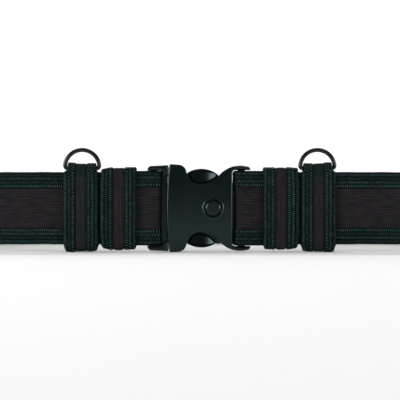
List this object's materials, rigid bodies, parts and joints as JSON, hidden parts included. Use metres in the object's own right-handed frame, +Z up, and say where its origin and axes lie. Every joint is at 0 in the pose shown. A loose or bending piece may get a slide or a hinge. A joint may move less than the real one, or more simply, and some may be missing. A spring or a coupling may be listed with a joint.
{
  "type": "tool belt",
  "caption": "Webbing tool belt closed in a loop by a side-release buckle with a centre lock button, with sliding belt keepers and D-rings.",
  "frame": {"origin": "on the ground under the middle of the loop", "axes": "+X along the front towards the female half of the buckle, -Y is the front, +Z up; the belt stands on its lower edge"},
  "size_m": [0.4606, 0.1504, 0.073],
  "materials": {
    "webbing": "dark woven nylon, matt",
    "binding": "ribbed nylon tape with a slight sheen",
    "core": "stiff webbing, hidden",
    "lining": "brushed nap",
    "hook": "hook tape",
    "buckle_plastic": "moulded acetal, satin",
    "black_wire": "gloss black over steel wire"
  },
  "bodies": {
    "belt": {"strap_face": "webbing", "strap_core": "core", "strap_lining": "lining", "strap_binding_upper": "binding", "strap_binding_lower": "binding", "bend_face": "webbing", "bend_core": "core", "bend_lining": "lining", "bend_binding_upper": "binding", "bend_binding_lower": "binding", "hook_patch_right": "hook", "female_body": "buckle_plastic"},
    "left_end": {"left_strap_face": "webbing", "left_strap_core": "core", "left_strap_lining": "lining", "left_strap_binding_upper": "binding", "left_strap_binding_lower": "binding", "hook_patch_left": "hook", "male_frame": "buckle_plastic"},
    "prong_upper": {"prong_upper": "buckle_plastic"},
    "prong_lower": {"prong_lower": "buckle_plastic"},
    "lock_tongue": {"lock_tongue": "buckle_plastic"},
    "keeper_1": {"keeper_1_band": "webbing", "keeper_1_binding_outer": "binding", "keeper_1_binding_inner": "binding", "keeper_1_loop": "lining"},
    "flap_1": {"keeper_1_flap": "webbing", "keeper_1_hook": "hook"},
    "keeper_2": {"keeper_2_band": "webbing", "keeper_2_binding_outer": "binding", "keeper_2_binding_inner": "binding", "keeper_2_loop": "lining"},
    "flap_2": {"keeper_2_flap": "webbing", "keeper_2_hook": "hook"},
    "keeper_3": {"keeper_3_band": "webbing", "keeper_3_binding_outer": "binding", "keeper_3_binding_inner": "binding", "keeper_3_loop": "lining"},
    "flap_3": {"keeper_3_flap": "webbing", "keeper_3_hook": "hook"},
    "keeper_4": {"keeper_4_band": "webbing", "keeper_4_binding_outer": "binding", "keeper_4_binding_inner": "binding", "keeper_4_loop": "lining"},
    "flap_4": {"keeper_4_flap": "webbing", "keeper_4_hook": "hook"},
    "d_ring_left": {"d_ring_left": "black_wire"},
    "d_ring_right": {"d_ring_right": "black_wire"}
  },
  "joints": [
    {"name": "buckle_release", "type": "slide", "parent": "belt", "child": "left_end", "axis": [-1, 0, 0], "range_m": [0, 0.05], "deforming": ["bend_face", "bend_core", "bend_lining", "bend_binding_upper", "bend_binding_lower", "prong_upper", "prong_lower", "lock_tongue"]},
    {"name": "squeeze_upper", "type": "hinge", "parent": "left_end", "child": "prong_upper", "pos_m": [-0.016, -0.06845, 0.0508], "axis": [0, 1, 0], "range_deg": [0, 8], "stiffness_Nm_per_rad": 0.3},
    {"name": "squeeze_lower", "type": "hinge", "parent": "left_end", "child": "prong_lower", "pos_m": [-0.016, -0.06845, 0.0108], "axis": [0, -1, 0], "range_deg": [0, 8], "stiffness_Nm_per_rad": 0.3},
    {"name": "lock_press", "type": "hinge", "parent": "left_end", "child": "lock_tongue", "pos_m": [-0.016, -0.0711, 0.0308], "axis": [0, 0, 1], "range_deg": [0, 6.5], "stiffness_Nm_per_rad": 0.3},
    {"name": "keeper_1_slide", "type": "slide", "parent": "left_end", "child": "keeper_1", "axis": [-1, 0, 0], "range_m": [0, 0.024]},
    {"name": "keeper_2_slide", "type": "slide", "parent": "left_end", "child": "keeper_2", "axis": [1, 0, 0], "range_m": [0, 0.004]},
    {"name": "keeper_3_slide", "type": "slide", "parent": "belt", "child": "keeper_3", "axis": [-1, 0, 0], "range_m": [0, 0.004]},
    {"name": "keeper_4_slide", "type": "slide", "parent": "belt", "child": "keeper_4", "axis": [1, 0, 0], "range_m": [0, 0.024]},
    {"name": "flap_1_open", "type": "hinge", "parent": "keeper_1", "child": "flap_1", "pos_m": [-0.08295, -0.06102, 0.0513], "axis": [1, 0, 0], "range_deg": [0, 100]},
    {"name": "flap_2_open", "type": "hinge", "parent": "keeper_2", "child": "flap_2", "pos_m": [-0.0566, -0.06102, 0.0513], "axis": [1, 0, 0], "range_deg": [0, 100]},
    {"name": "flap_3_open", "type": "hinge", "parent": "keeper_3", "child": "flap_3", "pos_m": [0.0566, -0.06102, 0.0513], "axis": [1, 0, 0], "range_deg": [0, 100]},
    {"name": "flap_4_open", "type": "hinge", "parent": "keeper_4", "child": "flap_4", "pos_m": [0.08295, -0.06102, 0.0513], "axis": [1, 0, 0], "range_deg": [0, 100]},
    {"name": "d_ring_left_swing", "type": "hinge", "parent": "keeper_1", "child": "d_ring_left", "pos_m": [-0.0825, -0.06845, 0.0586], "axis": [1, 0, 0], "range_deg": [-90, 90]},
    {"name": "d_ring_right_swing", "type": "hinge", "parent": "keeper_4", "child": "d_ring_right", "pos_m": [0.0825, -0.06845, 0.0586], "axis": [1, 0, 0], "range_deg": [-90, 90]}
  ]
}
